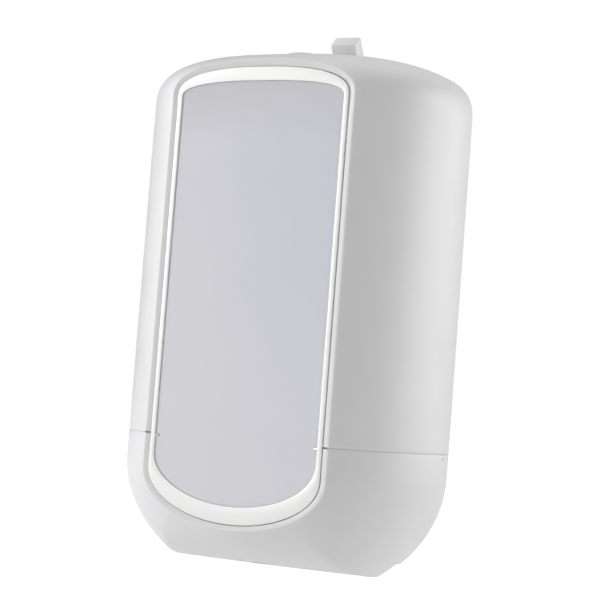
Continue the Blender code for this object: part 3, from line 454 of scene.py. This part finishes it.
OUTLET_Y, OUTLET_RADIUS, OUTLET_Z = -0.024, 0.0070, (BASE - 0.010, BASE + 0.020)
VENT_RADIUS, VENT_Y, VENT_DROP = 0.0005, -0.0075, 0.0022     # tiny hole beside the rear edge, below the seam
VENT_X = (HALF_WIDTH - 0.0012, HALF_WIDTH + 0.002)


def both_sides(side, pair):
    return [side * x for x in pair]


def around(centre, half):
    return (centre - half, centre + half)


def boss(side, low, high):
    x = side * SCREW_X
    return rod(BOSS_RADIUS, (x, SCREW_Y, low), (x, SCREW_Y, high))


def screw_bore(side, low, high):
    x = side * SCREW_X
    return rod(BORE, (x, SCREW_Y, low), (x, SCREW_Y, high), BORE_STEPS)


def pin_bore(side, pin, inner, outer):
    """A bore along X on the pin's axis."""
    y, z = middle(pin, 1), middle(pin, 2)
    return rod(BORE, (side * inner, y, z), (side * outer, y, z), BORE_STEPS)


def lip_notch(side):
    """The small gap that the mould leaves where the seam crosses the rim, beside the ring's lug."""
    x = both_sides(side, (RING_HIGH.x - 0.0003, RING_HIGH.x + RIM_WIDTH + 0.0002))
    return block(x, (FRONT - 0.001, FRONT + 0.0018), around(SEAM, LIP_NOTCH), 0.0002, 2)


def finish_upper(shell):
    """Adds the screw bosses, the panel's hangers and the latch's keeper; cuts the bores and openings."""
    adds, cuts = [], []
    for side in (-1, 1):
        adds.append(boss(side, SEAM + SEAM_GAP / 2 + BOSS_CLEAR, BOSS_TOP))
        adds.append(block(both_sides(side, HANGER_X), HANGER_Y, (HANGER_FOOT, CROWN), HANGER_ROUND))
        cuts.append(screw_bore(side, SEAM - BORE_PAST_SEAM, SCREW_TOP))
        cuts.append(pin_bore(side, PANEL_PIN, HANGER_X[0] - 0.001, HANGER_X[1] + 0.002))
        cuts.append(lip_notch(side))
    adds.append(block(around(LATCH_X, KEEPER_HALF), KEEPER_Y, (KEEPER_FOOT, CROWN + 0.01), KEEPER_ROUND))
    inner_fittings(shell, adds)
    slot = block(around(LATCH_X, SLOT_HALF), SLOT_Y, (SLOT_FOOT, CROWN + 0.006), SLOT_ROUND, 4, along=2)
    hole = rod(LOCK_HOLE, *(LOCK_FRAME @ Vector((0, 0, z)) for z in (-LOCK_HOLE_HALF, LOCK_HOLE_HALF)), 64)
    combine(shell, "DIFFERENCE", [joined(cuts + [slot, hole])])


def finish_lower(shell):
    """Adds the screw bosses and hinge lugs; cuts the bores, the rear relief, the outlet and the tiny hole."""
    adds, cuts = [], []
    pin_y, pin_z = middle(HINGE_PIN, 1), middle(HINGE_PIN, 2)
    for side in (-1, 1):
        adds.append(boss(side, BOSS_FOOT, SEAM - SEAM_GAP / 2 - BOSS_CLEAR))
        adds.append(block(both_sides(side, HINGE_LUG_X), around(pin_y, HINGE_LUG_RADIUS),
                          (BASE, pin_z + HINGE_LUG_RADIUS), HINGE_LUG_ROUND))
        cuts.append(screw_bore(side, SCREW_FOOT, SEAM + BORE_PAST_SEAM))
        cuts.append(pin_bore(side, HINGE_PIN, HINGE_LUG_X[0] - 0.002, HINGE_LUG_X[1] + 0.002))
        cuts.append(lip_notch(side))
    inner_fittings(shell, adds)
    relief = block(RELIEF_X, RELIEF_Y, RELIEF_Z)
    outlet = rod(OUTLET_RADIUS, *((0, OUTLET_Y, z) for z in OUTLET_Z), 64)
    vent = rod(VENT_RADIUS, *((x, VENT_Y, SEAM - VENT_DROP) for x in VENT_X), 20)
    combine(shell, "DIFFERENCE", [joined(cuts), relief, outlet, vent])


PROFILE = casing_profile()
COUNT = len(PROFILE[0])
RIGHT_ABOVE = TOP_STEPS + SIDE_STEPS - 2      # outline point just above the seam, on the right
RIGHT_BELOW = RIGHT_ABOVE + 1
UPPER_END, LOWER_END = SEAM + SEAM_OPEN / 2, SEAM - SEAM_OPEN / 2
upper = cover_strip("upper_cover_shell", PROFILE, COUNT - RIGHT_BELOW, COUNT + RIGHT_BELOW, UPPER_END)
lower = cover_strip("lower_cover_shell", PROFILE, RIGHT_ABOVE, COUNT - RIGHT_ABOVE, LOWER_END)
finish_upper(upper)
finish_lower(lower)
for shell, node in ((upper, "upper_cover"), (lower, "lower_cover")):
    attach(shell, "cover")
    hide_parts(node)
    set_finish(shell, "white_abs")


# ---------------------------------------------------------------- push panel
PANE_PLAY = 0.0003                # between the pane and the ring in the frame's boxes
BAND_SIDE = RING_HIGH.x - PANE_HIGH.x - PANE_PLAY
BAND_TOP = RING_HIGH.z - PANE_HIGH.z - PANE_PLAY
BAND_BOTTOM = PANE_LOW.z - RING_LOW.z - PANE_PLAY
RING_ROUND, RING_ROUND_STEPS = 0.0004, 4
LUG_Z, LUG_REACH, LUG_HALF, LUG_DEPTH, LUG_CLEAR = BASE + 0.060, 0.0018, 0.0005, 0.0013, 0.00012
LUG_ROOT, LUG_SET_BACK, LUG_ROUND = 0.0009, 0.00005, 0.0002
PANE_CLEAR, PANE_CROWN = 0.00008, 0.0001
PANE_ROUND, PANE_ROUND_DEPTH = 0.0003, 0.0002
SPINE_INSET = 0.045               # the crowned pane's highest line ends this far from the ring's ends


def trim_ring():
    """A flat band with softened edges, with a small lug on each side where the seam meets it."""
    outer, inner = panel_outline(), panel_outline(-BAND_SIDE, -BAND_TOP, -BAND_BOTTOM)
    front, rear = RING_LOW.y, RING_HIGH.y
    rounded = front + RING_ROUND
    outer_flat = level(towards(outer, inner, RING_ROUND), front)
    inner_flat = level(towards(inner, outer, RING_ROUND), front)
    rows = [level(outer, rear)]
    rows += curve(level(outer, rounded), level(outer, front), outer_flat, RING_ROUND_STEPS)
    rows += curve(inner_flat, level(inner, front), level(inner, rounded), RING_ROUND_STEPS)
    rows.append(level(inner, rear))
    ring = loft("trim_band", rows, closed_rows=True, closed_profile=True)
    lug_x = (RING_HIGH.x - BAND_SIDE - LUG_REACH, RING_HIGH.x - LUG_ROOT)
    lug_y = (front + LUG_SET_BACK, front + LUG_DEPTH)
    lugs = [block(both_sides(side, lug_x), lug_y, around(LUG_Z, LUG_HALF), LUG_ROUND) for side in (-1, 1)]
    combine(ring, "UNION", [joined(lugs)])
    return ring


def window_pane():
    """A frosted pane, slightly crowned, with a softened edge and a notch for each lug."""
    front, rear = PANE_LOW.y + PANE_CROWN, PANE_HIGH.y
    bands = (BAND_SIDE, BAND_TOP, BAND_BOTTOM)
    edge = panel_outline(*[-band - PANE_CLEAR for band in bands])
    shoulder = panel_outline(*[-band - PANE_ROUND for band in bands])
    spine_ends = (RING_LOW.z + SPINE_INSET, RING_HIGH.z - SPINE_INSET)
    spine = np.column_stack([np.zeros(len(edge)), np.clip(edge[:, 1], *spine_ends)])
    rows = [level(edge, rear)]
    rows += curve(level(edge, front + PANE_ROUND_DEPTH), level(edge, front), level(shoulder, front), 3)
    for share in (0.06, 0.2, 0.45, 0.75, 0.96):
        crown = PANE_CROWN * math.sin(share * math.pi / 2)
        rows.append(level(shoulder + (spine - shoulder) * share, front - crown))
    pane = loft("frosted_pane", rows, closed_rows=True, lids=True)
    notch_x = (RING_HIGH.x - BAND_SIDE - LUG_REACH - LUG_CLEAR, RING_HIGH.x)
    notch_y = (front - 0.002, RING_LOW.y + LUG_DEPTH + LUG_CLEAR)
    notches = [block(both_sides(side, notch_x), notch_y, around(LUG_Z, LUG_HALF + LUG_CLEAR), LUG_ROUND, 2)
               for side in (-1, 1)]
    combine(pane, "DIFFERENCE", [joined(notches)])
    return pane


ring, pane = trim_ring(), window_pane()
for piece, node, slot_name in ((ring, "trim_ring", "white_trim"), (pane, "window_panel", "frosted_window")):
    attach(piece, "panel")
    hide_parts(node)
    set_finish(piece, slot_name)


# ---------------------------------------------------------------- latch and lock
TAB_FOOT, TAB_ROUND = 0.2454, 0.0005
TAB_SIDE = ((-0.0103, TAB_FOOT), (-0.0103, 0.2494), (-0.0146, 0.2560), (-0.0090, 0.2608), (-0.0080, 0.2608),
            (-0.0013, 0.2508), (-0.0013, TAB_FOOT))     # y and height above the base: it leans off the wall
STEM_HALF, STEM_Y, STEM_Z = 0.0054, (-0.0090, -0.0031), (LATCH_LOW.z, BASE + TAB_FOOT + 0.001)
NOSE_HALF, NOSE_Y, NOSE_Z = 0.0050, (-0.0150, -0.0080), (BASE + 0.2400, BASE + 0.2426)
LATCH_ROUND = 0.0004
COLLAR_BORE, COLLAR_RADIUS, SLEEVE_RADIUS, SLEEVE_FOOT = 0.0046, 0.0076, 0.0055, -0.0070
CORE_RADIUS, CORE_FACE, CORE_FOOT = 0.0042, 0.0012, -0.0085
SOCKET_RADIUS, SOCKET_Z = 0.0017, (-0.0110, -0.0046)


def latch():
    """Press tab that leans forward, its stem in the back plate's guide and the nose under the keeper."""
    outline = [(y, BASE + z) for y, z in TAB_SIDE]
    tab = extruded("latch_tab", outline, LATCH_LOW.x, LATCH_HIGH.x, TAB_ROUND)
    combine(tab, "UNION", [block(around(LATCH_X, STEM_HALF), STEM_Y, STEM_Z, LATCH_ROUND)])
    combine(tab, "UNION", [block(around(LATCH_X, NOSE_HALF), NOSE_Y, NOSE_Z, LATCH_ROUND)])
    return tab


def rosette():
    """Thin domed collar round the lock, with its sleeve through the cover."""
    dome = [(COLLAR_BORE + 0.0031 * t, 0.0016 - 0.0009 * t ** 2.2) for t in np.linspace(0.06, 0.97, 10)]
    rim = [(COLLAR_RADIUS, 0.0005), (COLLAR_RADIUS - 0.0002, 0.0004)]
    sleeve = [(SLEEVE_RADIUS, 0.0004), (SLEEVE_RADIUS, SLEEVE_FOOT), (COLLAR_BORE, SLEEVE_FOOT)]
    return turned("lock_collar", [(COLLAR_BORE, 0.0013)] + dome + rim + sleeve, 96, LOCK_FRAME)


def barrel():
    """The lock's barrel with a keyway in its face and a socket for the cam's screw at its foot."""
    profile = [(0, CORE_FACE), (0.0038, CORE_FACE), (0.0041, 0.0010), (CORE_RADIUS, 0.0006),
               (CORE_RADIUS, CORE_FOOT), (0, CORE_FOOT)]
    core = turned("lock_core", profile, 72, LOCK_FRAME)
    keyway = block((-0.0005, 0.0005), (-0.0024, 0.0024), (0.0002, 0.0030))
    keyway.matrix_world = LOCK_FRAME
    socket = rod(SOCKET_RADIUS, *(LOCK_FRAME @ Vector((0, 0, z)) for z in SOCKET_Z), 24)
    combine(core, "DIFFERENCE", [keyway, socket])
    return core


for piece, body, node, slot_name in (
        (latch(), "latch", "release_latch", "white_abs"), (rosette(), "cover", "lock_rosette", "white_abs"),
        (barrel(), "lock", "lock_barrel", "grey_plastic")):
    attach(piece, body)
    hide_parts(node)
    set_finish(piece, slot_name)


# ---------------------------------------------------------------- inner pieces
def softened(node, width=0.00025):
    """A copy of a frame piece with its facets merged and its edges rounded, as moulding leaves them."""
    bm = bmesh.new()
    bm.from_mesh(NODES[node].data)
    bmesh.ops.remove_doubles(bm, verts=bm.verts, dist=1e-6)
    bmesh.ops.dissolve_limit(bm, angle_limit=math.radians(1), verts=bm.verts, edges=bm.edges)
    edges = [e for e in bm.edges if e.is_manifold and e.calc_face_angle(0) > math.radians(35)]
    bmesh.ops.bevel(bm, geom=edges, offset=width, segments=2, profile=0.5, affect="EDGES",
                    clamp_overlap=True)
    obj = to_object(bm, node + "_moulded")
    by_area = obj.modifiers.new("by_area", "WEIGHTED_NORMAL")
    by_area.weight = 100
    apply_modifiers(obj)
    return obj


BODY_OF = {node: body for body, nodes in frame["record"]["behaviour"]["bodies"].items() for node in nodes}
for node in ("back_plate", "panel_carrier", "reservoir", "reservoir_lid", "pump_body", "nozzle"):
    piece = softened(node)
    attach(piece, BODY_OF[node])
    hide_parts(node)
    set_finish(piece, SLOT_OF[node])


# ---------------------------------------------------------------- materials
CLOUD_SCALE, MOTTLE_SCALE, WAVE_SCALE, GLOSS_SCALE = 14, 26, 55, 60     # noise features per metre
STREAK_SCALE, GRAIN_SCALE = 900, 2600
WAVE_HEIGHT, GRAIN_HEIGHT, STREAK_HEIGHT = 0.0006, 0.00008, 0.00005


def new_material(name):
    mat = bpy.data.materials.new(name)
    mat.use_nodes = True
    nodes, links = mat.node_tree.nodes, mat.node_tree.links
    return mat, nodes, links, nodes["Principled BSDF"]


def noise(nodes, links, scale, detail=3.0, roughness=0.55, stretch=None):
    """Noise in the piece's own coordinates; scale is in features per metre."""
    coords = nodes.new("ShaderNodeTexCoord")
    mapping = nodes.new("ShaderNodeMapping")
    if stretch:
        mapping.inputs["Scale"].default_value = stretch
    texture = nodes.new("ShaderNodeTexNoise")
    texture.inputs["Scale"].default_value = scale
    texture.inputs["Detail"].default_value = detail
    texture.inputs["Roughness"].default_value = roughness
    links.new(coords.outputs["Object"], mapping.inputs["Vector"])
    links.new(mapping.outputs["Vector"], texture.inputs["Vector"])
    return texture.outputs["Fac"]


def to_range(nodes, links, value, low, high, start=0.3, stop=0.7):
    node = nodes.new("ShaderNodeMapRange")
    node.inputs["From Min"].default_value = start
    node.inputs["From Max"].default_value = stop
    node.inputs["To Min"].default_value = low
    node.inputs["To Max"].default_value = high
    links.new(value, node.inputs["Value"])
    return node.outputs["Result"]


def blend_colours(nodes, links, factor, *colours):
    """Mix of two colours, each a colour or another node's output."""
    node = nodes.new("ShaderNodeMix")
    node.data_type = "RGBA"
    links.new(factor, node.inputs[0])
    for socket, colour in zip((node.inputs[6], node.inputs[7]), colours):
        if isinstance(colour, tuple):
            socket.default_value = (*colour, 1)
        else:
            links.new(colour, socket)
    return node.outputs[2]


def bump(nodes, links, height, strength, distance, normal=None):
    node = nodes.new("ShaderNodeBump")
    node.inputs["Strength"].default_value = strength
    node.inputs["Distance"].default_value = distance
    links.new(height, node.inputs["Height"])
    if normal is not None:
        links.new(normal, node.inputs["Normal"])
    return node.outputs["Normal"]


def moulded(name, colour, roughness, mottle=0.015, grain=0.05, orange_peel=0.03, **extra):
    """Moulded plastic: faint mottling, a fine spark-eroded grain, long soft waves and uneven gloss."""
    mat, nodes, links, shader = new_material(name)
    broad = noise(nodes, links, MOTTLE_SCALE)
    pale = tuple(min(1, c * (1 + mottle)) for c in colour)
    dull = tuple(c * (1 - mottle) for c in colour)
    links.new(blend_colours(nodes, links, to_range(nodes, links, broad, 0, 1), dull, pale),
              shader.inputs["Base Color"])
    links.new(to_range(nodes, links, noise(nodes, links, GLOSS_SCALE), roughness - 0.03, roughness + 0.03),
              shader.inputs["Roughness"])
    waves = bump(nodes, links, noise(nodes, links, WAVE_SCALE, 1.5), orange_peel, WAVE_HEIGHT)
    fine = noise(nodes, links, GRAIN_SCALE, 2)
    links.new(bump(nodes, links, fine, grain, GRAIN_HEIGHT, waves), shader.inputs["Normal"])
    for socket, value in extra.items():
        shader.inputs[socket.replace("_", " ")].default_value = value
    return mat


def frosted(name):
    """Frosted pane: lilac grey with random cloudy tone; painted light makes it paler to the left and below,
    and painted shade darkens a band near its top.
    """
    mat, nodes, links, shader = new_material(name)
    coords = nodes.new("ShaderNodeTexCoord")
    place = nodes.new("ShaderNodeSeparateXYZ")
    links.new(coords.outputs["Object"], place.inputs["Vector"])
    # painted light: the pane gets paler to the left and below, following its own coordinates
    across = to_range(nodes, links, place.outputs["X"], 0, 0.5, PANE_LOW.x, PANE_HIGH.x)
    upwards = to_range(nodes, links, place.outputs["Z"], 0, 0.5, PANE_LOW.z, PANE_HIGH.z)
    total = nodes.new("ShaderNodeMath")
    links.new(across, total.inputs[0])
    links.new(upwards, total.inputs[1])
    painted_light_and_cloud = nodes.new("ShaderNodeMath")
    links.new(total.outputs["Value"], painted_light_and_cloud.inputs[0])
    links.new(to_range(nodes, links, noise(nodes, links, CLOUD_SCALE, 2), -0.12, 0.12), painted_light_and_cloud.inputs[1])
    tint_with_painted_light = blend_colours(nodes, links, painted_light_and_cloud.outputs["Value"], PANE_PALE_LIT, PANE_LILAC_SHADED)
    # painted shade: a darker band along the pane's top
    top_shade_mask = to_range(nodes, links, place.outputs["Z"], 0, 1, PANE_HIGH.z - TOP_SHADE_BAND, PANE_HIGH.z)
    links.new(blend_colours(nodes, links, top_shade_mask, tint_with_painted_light, PANE_PAINTED_TOP_SHADE), shader.inputs["Base Color"])
    gloss = to_range(nodes, links, noise(nodes, links, GLOSS_SCALE), 0.44, 0.52)
    links.new(gloss, shader.inputs["Roughness"])
    grain = bump(nodes, links, noise(nodes, links, GRAIN_SCALE, 2), 0.1, GRAIN_HEIGHT)
    links.new(grain, shader.inputs["Normal"])
    return mat


def brushed_steel(name, colour=(0.62, 0.62, 0.63), roughness=0.28):
    mat, nodes, links, shader = new_material(name)
    streaks = noise(nodes, links, STREAK_SCALE, 3, stretch=(1, 1, 0.06))
    links.new(blend_colours(nodes, links, to_range(nodes, links, streaks, 0, 1), colour,
                            tuple(c * 0.88 for c in colour)), shader.inputs["Base Color"])
    links.new(to_range(nodes, links, streaks, roughness - 0.06, roughness + 0.08), shader.inputs["Roughness"])
    links.new(bump(nodes, links, streaks, 0.08, STREAK_HEIGHT), shader.inputs["Normal"])
    shader.inputs["Metallic"].default_value = 1.0
    return mat


def set_material(obj, mat):
    obj.data.materials.clear()
    obj.data.materials.append(mat)


# pane colours: a pale grey for the painted light, the lilac tint darkened by painted shade, and a painted
# shade for the top band
PANE_PALE_LIT, PANE_LILAC_SHADED, PANE_PAINTED_TOP_SHADE = (0.76, 0.76, 0.79), (0.66, 0.655, 0.74), (0.62, 0.62, 0.655)
TOP_SHADE_BAND = 0.030                # height of the painted shade band at the pane's top
CASING = moulded("white_casing", (0.78, 0.78, 0.79), 0.36)
TRIM = moulded("bright_trim", (0.93, 0.93, 0.92), 0.30, mottle=0.006, grain=0.02, Metallic=0.22)
FROSTED = frosted("frosted_lilac")
NATURAL = moulded("natural_polypropylene", (0.80, 0.81, 0.79), 0.42)
GREY = moulded("grey_acetal", (0.42, 0.43, 0.45), 0.40)
SILICONE = moulded("silicone", (0.62, 0.64, 0.66), 0.55)
STEEL = brushed_steel("stainless_steel")
BY_SLOT = {"white_abs": CASING, "white_trim": TRIM, "frosted_window": FROSTED, "natural_plastic": NATURAL,
           "grey_plastic": GREY, "silicone": SILICONE, "steel": STEEL}

for node, slot_name in SLOT_OF.items():
    set_material(NODES[node], BY_SLOT[slot_name])
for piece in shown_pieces():
    if "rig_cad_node" not in piece:
        set_material(piece, BY_SLOT[piece["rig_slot"]])


# ---------------------------------------------------------------- camera, light, floor
def direction(azimuth, elevation):
    """Unit vector away from the object; azimuth 0 is the front and 90 the right."""
    a, e = math.radians(azimuth), math.radians(elevation)
    return (math.sin(a) * math.cos(e), -math.cos(a) * math.cos(e), math.sin(e))


STUDIO = (                       # soft sources: azimuth, elevation, half angle, radiance
    (-75, 8, 38, 1.15), (-55, 8, 38, 3.33), (120, 8, 38, 3.24), (135, 8, 38, 0.44),
    (0, 88, 45, 0.93), (-90, 45, 38, 0.45), (0, 45, 38, 0.42), (180, 45, 38, 0.70),
)
AMBIENT = 0.03
LOBE_CORE = 0.2                  # share of a source's half angle that has its full radiance
WHITE_SEEN = 1.02                # strength of the white that the camera sees
FLOOR_DROP, FLOOR_HALF_SIZE, FLOOR_GLOW = 0.075, 6.0, 0.33


def studio_world():
    """A white room whose walls glow softly in a few directions; the camera sees plain white."""
    world = bpy.data.worlds.new("studio")
    bpy.context.scene.world = world
    world.use_nodes = True
    nodes, links = world.node_tree.nodes, world.node_tree.links
    nodes.clear()
    coords = nodes.new("ShaderNodeTexCoord")
    total = None
    for azimuth, elevation, half_angle, radiance in STUDIO:
        dot = nodes.new("ShaderNodeVectorMath")
        dot.operation = "DOT_PRODUCT"
        dot.inputs[1].default_value = direction(azimuth, elevation)
        links.new(coords.outputs["Generated"], dot.inputs[0])
        lobe = nodes.new("ShaderNodeMapRange")
        lobe.interpolation_type = "SMOOTHSTEP"
        lobe.inputs["From Min"].default_value = math.cos(math.radians(half_angle))
        lobe.inputs["From Max"].default_value = math.cos(math.radians(half_angle * LOBE_CORE))
        lobe.inputs["To Max"].default_value = radiance
        links.new(dot.outputs["Value"], lobe.inputs["Value"])
        add = nodes.new("ShaderNodeMath")
        add.inputs[1].default_value = AMBIENT
        if total is not None:
            links.new(total, add.inputs[1])
        links.new(lobe.outputs["Result"], add.inputs[0])
        total = add.outputs["Value"]
    lit = nodes.new("ShaderNodeBackground")
    links.new(total, lit.inputs["Strength"])
    seen = nodes.new("ShaderNodeBackground")
    seen.inputs["Strength"].default_value = WHITE_SEEN
    for background in (lit, seen):
        background.inputs["Color"].default_value = (1, 1, 1, 1)
    path = nodes.new("ShaderNodeLightPath")
    mix = nodes.new("ShaderNodeMixShader")
    out = nodes.new("ShaderNodeOutputWorld")
    links.new(path.outputs["Is Camera Ray"], mix.inputs["Fac"])
    links.new(lit.outputs["Background"], mix.inputs[1])
    links.new(seen.outputs["Background"], mix.inputs[2])
    links.new(mix.outputs["Shader"], out.inputs["Surface"])


def pale_floor():
    """A wide white floor that the open cover clears; it glows a little for the camera only."""
    bm = bmesh.new()
    bmesh.ops.create_grid(bm, x_segments=8, y_segments=8, size=FLOOR_HALF_SIZE)
    floor = to_object(bm, "floor")
    floor.location.z = BASE - FLOOR_DROP
    mat, nodes, links, shader = new_material("floor")
    shader.inputs["Base Color"].default_value = (0.93, 0.93, 0.93, 1)
    shader.inputs["Roughness"].default_value = 0.8
    shader.inputs["Emission Color"].default_value = (1, 1, 1, 1)
    seen = nodes.new("ShaderNodeLightPath")
    glow = nodes.new("ShaderNodeMath")
    glow.operation = "MULTIPLY"
    glow.inputs[1].default_value = FLOOR_GLOW
    links.new(seen.outputs["Is Camera Ray"], glow.inputs[0])
    links.new(glow.outputs["Value"], shader.inputs["Emission Strength"])
    set_material(floor, mat)


def aim(obj, target, roll=0.0):
    way = (target - obj.location).normalized()
    obj.rotation_mode = "QUATERNION"
    obj.rotation_quaternion = way.to_track_quat("-Z", "Y") @ Quaternion((0, 0, 1), roll)


studio_world()
pale_floor()
bpy.context.scene.view_settings.view_transform = "Standard"

CAMERA_TARGET = Vector((0.0129, -0.0350, 0.0038))
CAMERA_DISTANCE = 0.8066
AZIMUTH, ELEVATION, ROLL = 26.0, -3.18, 4.41
LENS_MM, CLIP_START = 101.8, 0.05
camera = bpy.data.objects.new("camera", bpy.data.cameras.new("camera"))
bpy.context.scene.collection.objects.link(camera)
camera.data.lens = LENS_MM
camera.data.clip_start = CLIP_START
camera.location = CAMERA_TARGET + CAMERA_DISTANCE * Vector(direction(AZIMUTH, ELEVATION))
aim(camera, CAMERA_TARGET, math.radians(ROLL))
bpy.context.scene.camera = camera
